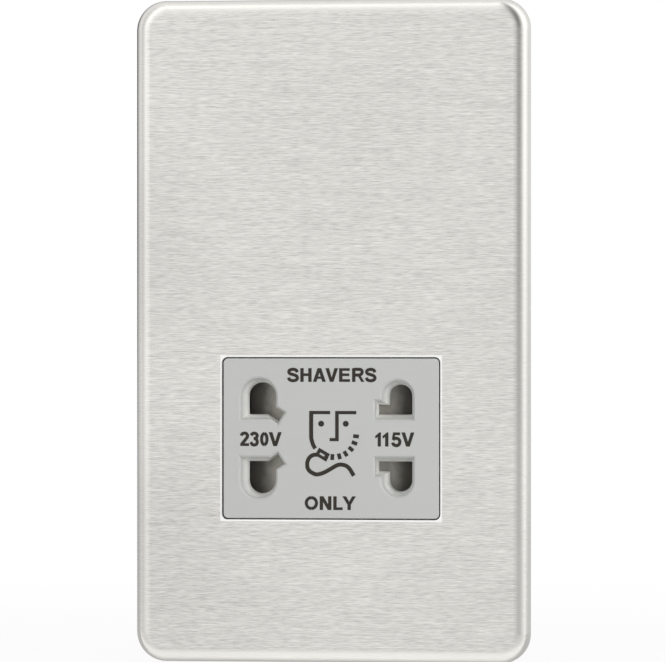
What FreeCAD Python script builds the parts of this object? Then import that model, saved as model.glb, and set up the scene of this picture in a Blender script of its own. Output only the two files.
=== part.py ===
import FreeCAD, Part
import math
import os
import Sketcher

# Dual-voltage shaver socket, built as a parametric document in millimetres.
# X runs to the right and Z up as one looks at the socket on its wall, and Y runs into the
# wall. The origin is on the wall's surface, midway between the two fixing screws, so the
# plate stands at negative Y and the box that hides in the wall is at positive Y.

V = FreeCAD.Vector

SIZES = {
    # Front plate: pressed sheet with rolled edges and a window for the socket
    "plate_width": 89.3,
    "plate_height": 149.0,
    "plate_depth": 4.6,
    "plate_sheet": 0.8,
    "plate_corner": 6.75,
    "plate_roll": 3.5,
    "rim_gap": 0.2,
    "window_width": 49.4,
    "window_height": 36.5,
    "window_corner": 1.3,
    "window_edge": 0.15,
    "socket_drop": 24.1,
    "pry_width": 6.1,
    "pry_depth": 1.2,
    "pry_inset": 1.2,
    # Mounting frame that the plate snaps on to
    "frame_depth": 3.5,
    "frame_gap": 0.4,
    "nib_length": 8.0,
    "nib_gap": 0.05,
    "nib_height": 1.0,
    "nib_place": 45.0,
    "nib_left": 20.0,
    "nib_right": 20.0,
    "fixing_spacing": 120.6,
    "fixing_hole": 4.2,
    "fixing_seat": 8.4,
    "fixing_floor": 1.3,
    "pocket_count": 4,
    "pocket_width": 12.0,
    "pocket_rib": 1.6,
    "pocket_margin": 9.0,
    "pocket_floor": 1.5,
    "rim_tongue": 0.5,
    "rim_slip": 0.15,
    # Socket insert: moulded face with four funnels for the pins
    "insert_gap": 0.3,
    "insert_sink": 0.1,
    "insert_corner": 1.0,
    "insert_edge": 0.2,
    "insert_face": 1.8,
    "insert_wall": 1.5,
    "insert_slip": 0.2,
    "flange_reach": 4.9,
    "flange_lap": 2.05,
    "flange_thickness": 1.6,
    "funnel_depth": 7.1,
    "funnel_wall": 1.9,
    "funnel_flare": 1.0,
    "notch_flare": 0.05,
    "notch_wall": 1.3,
    "lip": 0.45,
    # Slots: two pin holes of each voltage stand one above the other
    "pin_spacing": 19.0,
    "slot_base": 5.3,
    "high_place": 16.5,
    "high_radius": 3.0,
    "high_notch_angle": 33.0,
    "high_notch_width": 2.9,
    "high_notch_place": 11.4,
    "high_notch_height": 4.54,
    "low_place": 15.0,
    "low_radius": 2.5,
    "low_notch_end": 10.0,
    "low_notch_top": 7.45,
    # Shutter that closes whichever pair is not in use
    "shutter_gap": 0.3,
    "shutter_thickness": 4.0,
    "shutter_web": 1.8,
    "shutter_edge": 0.6,
    "shutter_travel": 8.4,
    "shutter_cover": 0.3,
    "shutter_crest": 9.2,
    "shutter_crest_width": 1.8,
    "tab_width": 2.4,
    "slide_gap": 0.25,
    "travel_end": 0.4,
    # Shutter springs
    "spring_radius": 1.1,
    "spring_wire": 0.4,
    "spring_turns": 7,
    "spring_end_gap": 0.1,
    "spring_room": 0.45,
    # Contact carrier
    "carrier_wall": 1.2,
    "carrier_leg": 4.0,
    "rail_thickness": 0.9,
    "cell_room": 0.4,
    "cell_blade": 5.3,
    # Contacts
    "contact_sheet": 0.6,
    "contact_half_width": 3.4,
    "contact_inner": 5.0,
    "contact_outer": 2.9,
    "leaf_root": 2.9,
    "leaf_pinch": 2.1,
    "leaf_low": 1.4,
    "leaf_high": 2.7,
    "leaf_length": 9.0,
    "leaf_room": 1.65,
    "leaf_pinch_place": 6.8,
    "blade_leaf_half": 2.2,
    "tail_width": 2.4,
    "tail_length": 3.6,
    "tail_drop": 1.0,
    "tail_gap": 0.15,
    "tail_slip": 0.05,
    "link_height": 4.0,
    "link_stand": 1.0,
    # Rear housing
    "housing_wall": 1.8,
    "housing_corner": 4.0,
    "housing_edge": 1.6,
    "housing_slip": 0.4,
    "wiring_room": 5.2,
    "step_room": 2.6,
    "boss_radius": 3.4,
    "boss_inset": 3.0,
    "boss_gap": 0.7,
    "boss_depth": 12.0,
    "boss_hole": 2.9,
    "boss_hole_depth": 10.5,
    # Screws that hold the housing on the frame
    "screw_diameter": 2.8,
    "screw_length": 12.5,
    "screw_head": 5.4,
    "screw_seat": 5.6,
    "screw_sink": 0.08,
    "screw_clearance": 3.2,
    "screw_slot": 0.8,
    "screw_slot_depth": 0.6,
    # Transformer core
    "core_leg": 16.0,
    "core_yoke": 8.0,
    "core_window": 24.0,
    "core_stack": 18.0,
    "core_lift": 9.0,
    "core_headroom": 5.2,
    # Coil
    "coil_slip": 0.15,
    "coil_front": 3.4,
    "coil_back_room": 1.0,
    "bobbin_wall": 1.0,
    "bobbin_edge": 0.2,
    "bobbin_reach": 6.9,
    "primary_height": 10.35,
    "winding_margin": 1.2,
    "tape_thickness": 0.3,
    "winding_corner": 3.0,
    "cutout_width": 9.0,
    "cutout_height": 9.0,
    "cutout_thickness": 2.6,
    # Straps that hold the core
    "strap_sheet": 0.8,
    "strap_width": 7.0,
    "strap_foot": 5.0,
    "strap_drop": 1.7,
    "strap_gap": 0.4,
    "strap_bend": 0.72,
    "strap_screw": 2.0,
    "strap_screw_length": 4.8,
    "strap_head": 4.4,
    "strap_head_height": 1.5,
    "strap_hole": 2.4,
    "post_hole": 2.1,
    "post_width": 6.0,
    "post_margin": 1.0,
    "post_height": 6.0,
    # Terminal block and terminals
    "block_side": 3.0,
    "block_top": 2.6,
    "block_margin": 2.0,
    "block_ear": 6.0,
    "block_ear_height": 6.0,
    "block_ear_thickness": 2.4,
    "block_wall": 1.8,
    "peg_diameter": 3.0,
    "peg_gap": 0.1,
    "peg_length": 3.2,
    "terminal_pitch": 13.0,
    "terminal_width": 7.6,
    "terminal_height": 9.2,
    "terminal_depth": 9.8,
    "terminal_gap": 0.2,
    "cable_bore": 4.2,
    "cable_bore_depth": 7.0,
    "cable_entry": 4.8,
    "clamp_screw": 3.5,
    "clamp_head": 5.0,
    "clamp_head_hole": 5.4,
    "clamp_head_height": 1.5,
    "clamp_screw_gap": 0.1,
    "spade_width": 2.5,
    "spade_thickness": 0.8,
    "spade_reach": 3.8,
    # Earth clip that touches the inside of the plate
    "clip_place": 15.0,
    "clip_drop": 3.9,
    "clip_width": 4.0,
    "clip_base": 6.0,
    "clip_arm": 6.0,
    "clip_sheet": 0.4,
    "clip_touch": 0.05,
    "clip_room": 1.0,
    "clip_floor": 0.8,
    "clip_tail": 4.0,
    # Insulated leads inside the housing
    "lead_diameter": 1.6,
    "lead_sides": 8,
    "lead_inset": 2.6,
    "lead_turn": 3.2,
    "lead_pass": 2.4,
    "lead_gap": 0.2,
    "lead_reach": 6.0,
    "secondary_lead_inset": 7.8,
    "primary_run_inset": 9.3,
    "primary_lead_inset": 6.8,
}


class Size:
    """A number together with the sheet formula that gives it."""

    def __init__(self, value, formula):
        self.value = value
        self.formula = formula

    def __add__(self, other):
        other = as_size(other)
        return Size(self.value + other.value, f"({self.formula} + {other.formula})")

    def __sub__(self, other):
        other = as_size(other)
        return Size(self.value - other.value, f"({self.formula} - {other.formula})")

    def __mul__(self, other):
        other = as_size(other)
        return Size(self.value * other.value, f"({self.formula} * {other.formula})")

    def __truediv__(self, other):
        other = as_size(other)
        return Size(self.value / other.value, f"({self.formula} / {other.formula})")

    def __neg__(self):
        return Size(-self.value, f"(0 - {self.formula})")

    def __radd__(self, other):
        return as_size(other) + self

    def __rsub__(self, other):
        return as_size(other) - self

    def __rmul__(self, other):
        return as_size(other) * self


def as_size(number):
    if isinstance(number, Size):
        return number
    return Size(number, f"({number})")


def sine(angle):
    return Size(math.sin(math.radians(angle.value)), f"sin({angle.formula})")


def cosine(angle):
    return Size(math.cos(math.radians(angle.value)), f"cos({angle.formula})")


def larger(a, b):
    return Size(max(a.value, b.value), f"max({a.formula}; {b.formula})")


class Sheet:
    """The document's spreadsheet, with each cell as a Size of the same name."""

    def __init__(self, document, sizes):
        cells = document.addObject("Spreadsheet::Sheet", "Sizes")
        for row, (name, value) in enumerate(sizes.items(), start=1):
            cells.set(f"A{row}", name)
            cells.set(f"B{row}", str(value))
            cells.setAlias(f"B{row}", name)
            setattr(self, name, Size(value, f"Sizes.{name}"))


doc = FreeCAD.newDocument("ShaverSocket")
s = Sheet(doc, SIZES)
doc.recompute()
subparts = []


# Bodies, sketches and features

def new_body(label, x=0, y=0, z=0, turn=0):
    """A body with its own placement, turned about the Y axis by a number of degrees."""
    body = doc.addObject("PartDesign::Body", label)
    body.Label = label
    body.Placement = FreeCAD.Placement(V(), FreeCAD.Rotation(V(0, 1, 0), turn))
    for axis, place in (("x", x), ("y", y), ("z", z)):
        body.setExpression(f"Placement.Base.{axis}", as_size(place).formula)
    subparts.append(body)
    return body


def sketch_on(body, role, offset):
    origin_plane = next(f for f in body.Origin.OriginFeatures if f.Role == role)
    sketch = body.newObject("Sketcher::SketchObject", f"{body.Label}_sketch")
    sketch.AttachmentSupport = (origin_plane, [""])
    sketch.MapMode = "FlatFace"
    sketch.setExpression("AttachmentOffset.Base.z", as_size(offset).formula)
    return sketch


def front_sketch(body, y=0):
    """A sketch in X and Z at depth y. A pad from it grows towards the room."""
    return sketch_on(body, "XZ_Plane", -as_size(y))


def top_sketch(body, z=0):
    """A sketch in X and Y at height z. A pad from it grows upwards."""
    return sketch_on(body, "XY_Plane", z)


def side_sketch(body, x=0):
    """A sketch in Y and Z at width x. A pad from it grows to the right."""
    return sketch_on(body, "YZ_Plane", x)


def locate(sketch, kind, geometry, position, size):
    size = as_size(size)
    number = sketch.addConstraint(
        Sketcher.Constraint(kind, -1, 1, geometry, position, size.value))
    sketch.setExpression(f"Constraints[{number}]", size.formula)


def draw_path(sketch, points):
    """Close a path through located points.

    A point is (x, y). Where an arc starts at it, its centre and turn follow, as
    (x, y, centre_x, centre_y, turn), with turn 1 for anticlockwise and -1 for clockwise.
    """
    first = sketch.GeometryCount
    for here, after in zip(points, points[1:] + points[:1]):
        start = V(as_size(here[0]).value, as_size(here[1]).value, 0)
        end = V(as_size(after[0]).value, as_size(after[1]).value, 0)
        if len(here) == 2:
            sketch.addGeometry(Part.LineSegment(start, end), False)
            continue
        centre = V(as_size(here[2]).value, as_size(here[3]).value, 0)
        circle = Part.Circle(centre, V(0, 0, 1), start.distanceToPoint(centre))
        ends = (start, end) if here[4] > 0 else (end, start)
        angles = [math.atan2(p.y - centre.y, p.x - centre.x) for p in ends]
        if angles[1] < angles[0]:
            angles[1] += 2 * math.pi
        sketch.addGeometry(Part.ArcOfCircle(circle, *angles), False)
    for number, here in enumerate(points):
        after = (number + 1) % len(points)
        arc = len(here) > 2 and here[4] < 0
        next_arc = len(points[after]) > 2 and points[after][4] < 0
        start_of, end_of = (2, 1) if arc else (1, 2)
        locate(sketch, "DistanceX", first + number, start_of, here[0])
        locate(sketch, "DistanceY", first + number, start_of, here[1])
        sketch.addConstraint(Sketcher.Constraint(
            "Coincident", first + number, end_of, first + after, 2 if next_arc else 1))
        if len(here) > 2:
            step_x = abs(as_size(here[0]).value - as_size(points[after][0]).value)
            step_y = abs(as_size(here[1]).value - as_size(points[after][1]).value)
            if step_x >= step_y:
                locate(sketch, "DistanceY", first + number, 3, here[3])
            else:
                locate(sketch, "DistanceX", first + number, 3, here[2])


def draw_box(sketch, x0, x1, y0, y1, corner=None):
    """A rectangle, with its corners rounded where a radius is given."""
    if corner is None:
        draw_path(sketch, [(x0, y0), (x1, y0), (x1, y1), (x0, y1)])
        return
    r = corner
    draw_path(sketch, [
        (x0 + r, y0), (x1 - r, y0, x1 - r, y0 + r, 1),
        (x1, y0 + r), (x1, y1 - r, x1 - r, y1 - r, 1),
        (x1 - r, y1), (x0 + r, y1, x0 + r, y1 - r, 1),
        (x0, y1 - r), (x0, y0 + r, x0 + r, y0 + r, 1),
    ])


def draw_circle(sketch, x, y, diameter):
    radius = diameter / 2
    centre = V(as_size(x).value, as_size(y).value, 0)
    number = sketch.addGeometry(Part.Circle(centre, V(0, 0, 1), radius.value), False)
    locate(sketch, "DistanceX", number, 3, x)
    locate(sketch, "DistanceY", number, 3, y)
    bound = sketch.addConstraint(Sketcher.Constraint("Radius", number, radius.value))
    sketch.setExpression(f"Constraints[{bound}]", radius.formula)


def pad(body, profile, length, reverse=False):
    feature = body.newObject("PartDesign::Pad", f"{body.Label}_pad")
    feature.Profile = profile
    feature.setExpression("Length", as_size(length).formula)
    feature.Reversed = reverse
    return feature


def pocket(body, profile, length, reverse=False):
    """Cut against the direction in which a pad from the same sketch would grow."""
    feature = body.newObject("PartDesign::Pocket", f"{body.Label}_pocket")
    feature.Profile = profile
    feature.setExpression("Length", as_size(length).formula)
    feature.Reversed = reverse
    return feature


def cut_loft(body, first, last):
    feature = body.newObject("PartDesign::SubtractiveLoft", f"{body.Label}_loft")
    feature.Profile = first
    feature.Sections = [last]
    feature.Ruled = True
    return feature


def round_edges(body, base, edges, radius, kind="Fillet"):
    feature = body.newObject(f"PartDesign::{kind}", f"{body.Label}_{kind.lower()}")
    feature.Base = (base, edges)
    feature.setExpression("Radius" if kind == "Fillet" else "Size", radius.formula)
    return feature


def turned(body, profile):
    """Turn a profile drawn in a front sketch about the body's Z axis."""
    feature = body.newObject("PartDesign::Revolution", f"{body.Label}_turned")
    feature.Profile = profile
    feature.ReferenceAxis = (profile, ["V_Axis"])
    feature.Angle = 360
    return feature


def edges_where(feature, test):
    """Names of the feature's edges whose bounding box passes the test."""
    doc.recompute()
    edges = enumerate(feature.Shape.Edges, start=1)
    return [f"Edge{number}" for number, edge in edges if test(edge.BoundBox)]


def near(a, b):
    return abs(a - as_size(b).value) < 1e-4


def in_level(y):
    """A test for edges that lie wholly at depth y."""
    return lambda box: near(box.YMin, y) and near(box.YMax, y)


# Places that several pieces share, worked out from the front to the back

half_width = s.plate_width / 2
half_height = s.plate_height / 2
frame_half_width = half_width - s.plate_sheet - s.frame_gap
frame_half_height = half_height - s.plate_sheet - s.frame_gap
socket_z = -s.socket_drop
insert_front = s.insert_sink - s.plate_depth
insert_half_width = s.window_width / 2 - s.insert_gap
insert_half_height = s.window_height / 2 - s.insert_gap
flange_half_width = insert_half_width + s.flange_reach
flange_half_height = insert_half_height + s.flange_lap

# The shutter covers the slots from behind, and the carrier leaves room for its travel
pin_z = s.pin_spacing / 2
funnel_back = insert_front + s.funnel_depth
shutter_front = funnel_back + s.shutter_gap
shutter_back = shutter_front + s.shutter_thickness
shutter_left = -s.high_place - s.high_radius - s.shutter_cover
shutter_right = s.low_place + s.low_radius + s.shutter_cover * 2
shutter_half_height = pin_z + s.high_radius + s.shutter_cover * 2
bay_floor = shutter_back + s.slide_gap
bay_half_width = s.shutter_travel + s.travel_end - shutter_left
rail_inner = shutter_half_height + s.slide_gap
channel_bottom = rail_inner + s.rail_thickness
channel_top = channel_bottom + s.spring_radius * 2 + s.spring_wire + s.spring_room
spring_z = (channel_bottom + channel_top) / 2
spring_y = (shutter_front + shutter_back) / 2
cell_floor = bay_floor + s.leaf_length + s.leaf_room
carrier_front = s.flange_thickness
carrier_back = cell_floor + s.carrier_wall
carrier_half_width = bay_half_width + s.carrier_wall
carrier_half_height = channel_top + s.carrier_wall
carrier_top = socket_z + carrier_half_height
tail_z = pin_z - s.tail_drop
link_front = carrier_back + s.link_stand

# The transformer stands above the carrier, and the housing clears all of them
step_height = carrier_top + s.step_room
core_bottom = step_height + s.core_lift
core_top = core_bottom + s.core_window + 2 * s.core_yoke
inner_half_width = larger(carrier_half_width, flange_half_width) + s.housing_slip
inner_half_height = larger(
    core_top + s.core_headroom,
    s.socket_drop + flange_half_height + s.boss_gap + s.boss_radius + s.boss_inset)
housing_half_width = inner_half_width + s.housing_wall
housing_half_height = inner_half_height + s.housing_wall
boss_x = inner_half_width - s.boss_inset
boss_z = inner_half_height - s.boss_inset
core_half_width = inner_half_width - s.housing_slip - s.strap_foot - s.strap_sheet
coil_half_depth = s.core_stack / 2 + s.bobbin_reach
core_middle = s.coil_front + coil_half_depth
core_front = core_middle - s.core_stack / 2
core_back = core_middle + s.core_stack / 2
lower_floor = carrier_back + s.wiring_room
lower_depth = lower_floor + s.housing_wall
upper_floor = core_middle + coil_half_depth + s.coil_back_room
upper_depth = upper_floor + s.housing_wall
leg_bottom = core_bottom + s.core_yoke
leg_top = leg_bottom + s.core_window
strap_low_z = core_bottom + s.core_yoke / 2
strap_high_z = core_top - s.core_yoke / 2
strap_foot_place = core_back + s.strap_drop
foot_x = core_half_width + s.strap_sheet + s.strap_foot / 2

# The coil fills the core's two windows
tube_half_x = s.core_leg / 2 + s.coil_slip + s.bobbin_wall
tube_half_y = s.core_stack / 2 + s.coil_slip + s.bobbin_wall
coil_half_width = core_half_width - s.core_yoke - s.bobbin_edge
bobbin_bottom = leg_bottom + s.coil_slip
bobbin_height = s.core_window - s.coil_slip * 2
primary_bottom = bobbin_bottom + s.bobbin_wall
secondary_bottom = primary_bottom + s.primary_height + s.bobbin_wall
secondary_height = bobbin_height - s.bobbin_wall * 3 - s.primary_height

# The terminal block stands behind the lower part of the housing
block_bottom = s.block_margin - housing_half_height
block_height = s.block_wall + s.terminal_height + s.terminal_gap * 2 + s.block_top
block_depth = s.terminal_depth + s.terminal_gap * 2 + s.block_wall
block_half_width = s.terminal_pitch + s.terminal_width / 2 + s.terminal_gap + s.block_side
terminal_bottom = block_bottom + s.block_wall + s.terminal_gap
terminal_front = lower_depth + s.terminal_gap
terminal_back = terminal_front + s.terminal_depth
terminal_middle = (terminal_front + terminal_back) / 2
terminal_z = terminal_bottom + s.terminal_height / 2
terminal_places = {
    "live_terminal": -s.terminal_pitch,
    "neutral_terminal": as_size(0),
    "earth_terminal": s.terminal_pitch,
}
spade_end = lower_floor - s.spade_reach
ear_x = block_half_width + s.block_ear / 2
clip_height = socket_z - larger(carrier_half_height, flange_half_height) - s.clip_drop


# Outlines of the slots, seen from the front and measured from the socket's centre

def high_slot(flare, notch_flare, up):
    """A 230 V slot: a D with a slanting notch for angled blades.

    It stands left of the centre. up is 1 for the upper slot and -1 for the lower one.
    """
    left = -s.high_place - s.high_radius - flare
    right = -s.high_place + s.high_radius + flare
    base = s.slot_base - flare
    along = cosine(s.high_notch_angle), -sine(s.high_notch_angle)
    across = sine(s.high_notch_angle), cosine(s.high_notch_angle)
    half = s.high_notch_width / 2 + notch_flare
    end_x = -s.high_notch_place + notch_flare * along[0]
    end_z = s.high_notch_height + notch_flare * along[1]
    top_x = end_x + half * across[0]
    top_z = end_z + half * across[1]
    low_x = end_x - half * across[0]
    low_z = end_z - half * across[1]
    slope = along[1] / along[0]
    meet_right_z = top_z + (right - top_x) * slope
    meet_base_x = low_x + (base - low_z) / slope
    points = [
        (left, base * up), (meet_base_x, base * up), (low_x, low_z * up),
        (top_x, top_z * up), (right, meet_right_z * up),
        (right, pin_z * up, -s.high_place, pin_z * up, up), (left, pin_z * up),
    ]
    return points


def low_slot(flare, notch_flare, up):
    """A 115 V slot: a D with a straight notch for flat blades, right of the centre."""
    left = s.low_place - s.low_radius - flare
    right = s.low_place + s.low_radius + flare
    base = s.slot_base - flare
    notch_left = s.low_notch_end - notch_flare
    notch_top = s.low_notch_top + flare
    return [
        (notch_left, base * up), (right, base * up),
        (right, pin_z * up, s.low_place, pin_z * up, up), (left, pin_z * up),
        (left, notch_top * up), (notch_left, notch_top * up),
    ]


slots = [(outline, up) for outline in (high_slot, low_slot) for up in (1, -1)]


# Pieces that the room sees

def front_plate():
    body = new_body("front_plate")
    profile = front_sketch(body, -s.rim_gap)
    draw_box(profile, -half_width, half_width, -half_height, half_height, s.plate_corner)
    blank = pad(body, profile, s.plate_depth - s.rim_gap)
    face = edges_where(blank, in_level(-s.plate_depth))
    rolled = round_edges(body, blank, face, s.plate_roll)
    doc.recompute()
    faces = enumerate(rolled.Shape.Faces, start=1)
    open_side = [f"Face{n}" for n, f in faces if in_level(-s.rim_gap)(f.BoundBox)]
    shell = body.newObject("PartDesign::Thickness", "front_plate_shell")
    shell.Base = (rolled, open_side)
    shell.setExpression("Value", s.plate_sheet.formula)
    shell.Reversed = True
    window = front_sketch(body, -s.plate_depth)
    half_x, half_z = s.window_width / 2, s.window_height / 2
    draw_box(window, -half_x, half_x, socket_z - half_z, socket_z + half_z, s.window_corner)
    opened = pocket(body, window, s.plate_sheet * 2)
    edges = edges_where(opened, lambda box: (
        in_level(-s.plate_depth)(box) and box.XMax < half_x.value + 1
        and box.XMin > -half_x.value - 1 and box.ZMax < 0))
    round_edges(body, opened, edges, s.window_edge)
    pry = front_sketch(body, -s.rim_gap)
    for edge in (half_height, -half_height):
        draw_box(pry, -s.pry_width / 2, s.pry_width / 2,
                 edge - s.pry_inset, edge + s.pry_inset)
    pocket(body, pry, s.pry_depth, reverse=True)


def mounting_frame():
    body = new_body("mounting_frame")
    profile = front_sketch(body)
    draw_box(profile, -frame_half_width, frame_half_width, -frame_half_height,
             frame_half_height, s.plate_corner - s.plate_sheet - s.frame_gap)
    slab = pad(body, profile, s.frame_depth)
    face = edges_where(slab, in_level(-s.frame_depth))
    round_edges(body, slab, face, s.plate_roll - s.plate_sheet - s.frame_gap)

    nibs = front_sketch(body)
    reach = half_width - s.plate_sheet - s.nib_gap
    rise = half_height - s.plate_sheet - s.nib_gap
    root = s.frame_gap * 2
    for side in (1, -1):
        for place in (s.nib_place, -s.nib_place):
            ends = sorted((reach * side, (reach - root) * side), key=lambda e: e.value)
            draw_box(nibs, *ends, place - s.nib_length / 2, place + s.nib_length / 2)
        ends = sorted((rise * side, (rise - root) * side), key=lambda e: e.value)
        for place in (-s.nib_left, s.nib_right):
            draw_box(nibs, place - s.nib_length / 2, place + s.nib_length / 2, *ends)
    pad(body, nibs, s.nib_height)

    window = front_sketch(body, -s.frame_depth)
    half_x = insert_half_width + s.insert_slip
    half_z = insert_half_height + s.insert_slip
    draw_box(window, -half_x, half_x, socket_z - half_z, socket_z + half_z, s.insert_corner)
    pocket(body, window, s.frame_depth)

    seats = front_sketch(body, -s.frame_depth)
    holes = front_sketch(body, -s.frame_depth)
    for place in (s.fixing_spacing / 2, -s.fixing_spacing / 2):
        draw_circle(seats, 0, place, s.fixing_seat)
        draw_circle(holes, 0, place, s.fixing_hole)
    for x in (boss_x, -boss_x):
        for z in (boss_z, -boss_z):
            draw_circle(holes, x, z, s.screw_clearance)
    pocket(body, seats, s.frame_depth - s.fixing_floor)
    drilled = pocket(body, holes, s.frame_depth)
    rims = edges_where(drilled, lambda box: (
        in_level(-s.frame_depth)(box) and near(box.XLength, s.screw_clearance)))
    round_edges(body, drilled, rims, (s.screw_seat - s.screw_clearance) / 2, "Chamfer")

    groove = front_sketch(body)
    outer_x, outer_z = housing_half_width + s.rim_slip, housing_half_height + s.rim_slip
    inner_x, inner_z = inner_half_width - s.rim_slip, inner_half_height - s.rim_slip
    draw_box(groove, -outer_x, outer_x, -outer_z, outer_z, s.housing_corner + s.rim_slip)
    draw_box(groove, -inner_x, inner_x, -inner_z, inner_z,
             s.housing_corner - s.housing_wall - s.rim_slip)
    pocket(body, groove, s.rim_tongue + s.rim_slip, reverse=True)

    clip_seat = front_sketch(body, -s.frame_depth)
    draw_box(clip_seat, s.clip_place - s.clip_base - s.clip_room,
             s.clip_place + s.clip_arm + s.clip_room,
             clip_height - s.clip_width / 2 - s.clip_room,
             clip_height + s.clip_width / 2 + s.clip_room)
    pocket(body, clip_seat, s.frame_depth - s.clip_floor)
    clip_slot = front_sketch(body, -s.frame_depth)
    draw_box(clip_slot, s.clip_place - s.clip_base - s.tail_gap,
             s.clip_place - s.clip_base + s.clip_sheet + s.tail_gap,
             clip_height - s.clip_width / 2 - s.tail_gap,
             clip_height + s.clip_width / 2 + s.tail_gap)
    pocket(body, clip_slot, s.frame_depth)

    # A row of shallow pockets lightens the blank upper half and keeps its wall even
    pitch = s.pocket_width + s.pocket_rib
    first_left = -(pitch * s.pocket_count - s.pocket_rib) / 2
    pocket_bottom = socket_z + insert_half_height + s.pocket_margin
    pocket_top = boss_z - s.screw_seat / 2 - s.pocket_rib
    cell = front_sketch(body, -s.frame_depth)
    draw_box(cell, first_left, first_left + s.pocket_width, pocket_bottom, pocket_top)
    first = pocket(body, cell, s.frame_depth - s.pocket_floor)
    row = body.newObject("PartDesign::LinearPattern", "mounting_frame_row")
    row.Originals = [first]
    row.Direction = (cell, ["H_Axis"])
    row.setExpression("Length", (pitch * (s.pocket_count - 1)).formula)
    row.setExpression("Occurrences", s.pocket_count.formula)
    body.Tip = row


def socket_insert():
    body = new_body("socket_insert", z=socket_z)
    profile = front_sketch(body, s.flange_thickness)
    draw_box(profile, -insert_half_width, insert_half_width, -insert_half_height,
             insert_half_height, s.insert_corner)
    block = pad(body, profile, s.flange_thickness - insert_front)
    face = edges_where(block, in_level(insert_front))
    round_edges(body, block, face, s.insert_edge)
    rim = front_sketch(body, s.flange_thickness)
    draw_box(rim, -flange_half_width, flange_half_width, -flange_half_height,
             flange_half_height, s.insert_corner)
    pad(body, rim, s.flange_thickness)
    hollow = front_sketch(body, s.flange_thickness)
    draw_box(hollow, s.insert_wall - insert_half_width, insert_half_width - s.insert_wall,
             s.insert_wall - insert_half_height, insert_half_height - s.insert_wall)
    face_back = insert_front + s.insert_face
    pocket(body, hollow, s.flange_thickness - face_back, reverse=True)
    for outline, up in slots:
        tube = front_sketch(body, funnel_back)
        draw_path(tube, outline(s.funnel_wall, s.notch_wall, up))
        pad(body, tube, funnel_back - face_back)
    for outline, up in slots:
        mouth = front_sketch(body, insert_front)
        draw_path(mouth, outline(s.funnel_flare + s.lip, s.notch_flare + s.lip, up))
        throat = front_sketch(body, insert_front + s.lip)
        draw_path(throat, outline(s.funnel_flare, s.notch_flare, up))
        cut_loft(body, mouth, throat)
        start = front_sketch(body, insert_front + s.lip)
        draw_path(start, outline(s.funnel_flare, s.notch_flare, up))
        end = front_sketch(body, funnel_back)
        draw_path(end, outline(as_size(0), as_size(0), up))
        cut_loft(body, start, end)


# The shutter and its springs

def shutter_slider():
    body = new_body("shutter_slider", z=socket_z)
    crest = s.shutter_crest
    shoulder = crest - s.shutter_crest_width
    web_front = shutter_back - s.shutter_web
    tip_front = shutter_back - s.shutter_edge
    profile = top_sketch(body, -shutter_half_height)
    draw_path(profile, [
        (shutter_left, shutter_back), (shutter_left, tip_front), (-crest, shutter_front),
        (-shoulder, shutter_front), (-shoulder, web_front), (shoulder, web_front),
        (shoulder, shutter_front), (crest, shutter_front), (shutter_right, tip_front),
        (shutter_right, shutter_back),
    ])
    pad(body, profile, shutter_half_height * 2)
    tab = front_sketch(body, shutter_back)
    draw_box(tab, -s.tab_width / 2, s.tab_width / 2, shutter_half_height - s.shutter_web,
             channel_top - s.slide_gap * 2)
    pad(body, tab, s.shutter_thickness - s.shutter_gap)


def shutter_spring(label, side):
    """A compression spring between the shutter's tab and the carrier's end wall."""
    length = bay_half_width - s.tab_width / 2 - s.spring_end_gap * 2 - s.spring_wire
    coil = doc.addObject("Part::Helix", f"{label}_coil")
    coil.setExpression("Radius", s.spring_radius.formula)
    coil.setExpression("Height", length.formula)
    coil.setExpression("Pitch", (length / s.spring_turns).formula)
    wire = doc.addObject("Part::RegularPolygon", f"{label}_wire")
    wire.Polygon = 6
    wire.setExpression("Circumradius", (s.spring_wire / 2).formula)
    wire.Placement.Rotation = FreeCAD.Rotation(V(1, 0, 0), 90)
    wire.setExpression("Placement.Base.x", s.spring_radius.formula)
    spring = doc.addObject("Part::Sweep", label)
    spring.Label = label
    spring.Sections = [wire]
    spring.Spine = (coil, [])
    spring.Solid = True
    spring.Frenet = True
    spring.Placement.Rotation = FreeCAD.Rotation(V(0, 1, 0), 90 * side)
    start = s.tab_width / 2 + s.spring_end_gap + s.spring_wire / 2
    spring.setExpression("Placement.Base.x", (start * side).formula)
    spring.setExpression("Placement.Base.y", spring_y.formula)
    spring.setExpression("Placement.Base.z", (socket_z + spring_z).formula)
    subparts.append(spring)


# The carrier and its contacts

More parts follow.
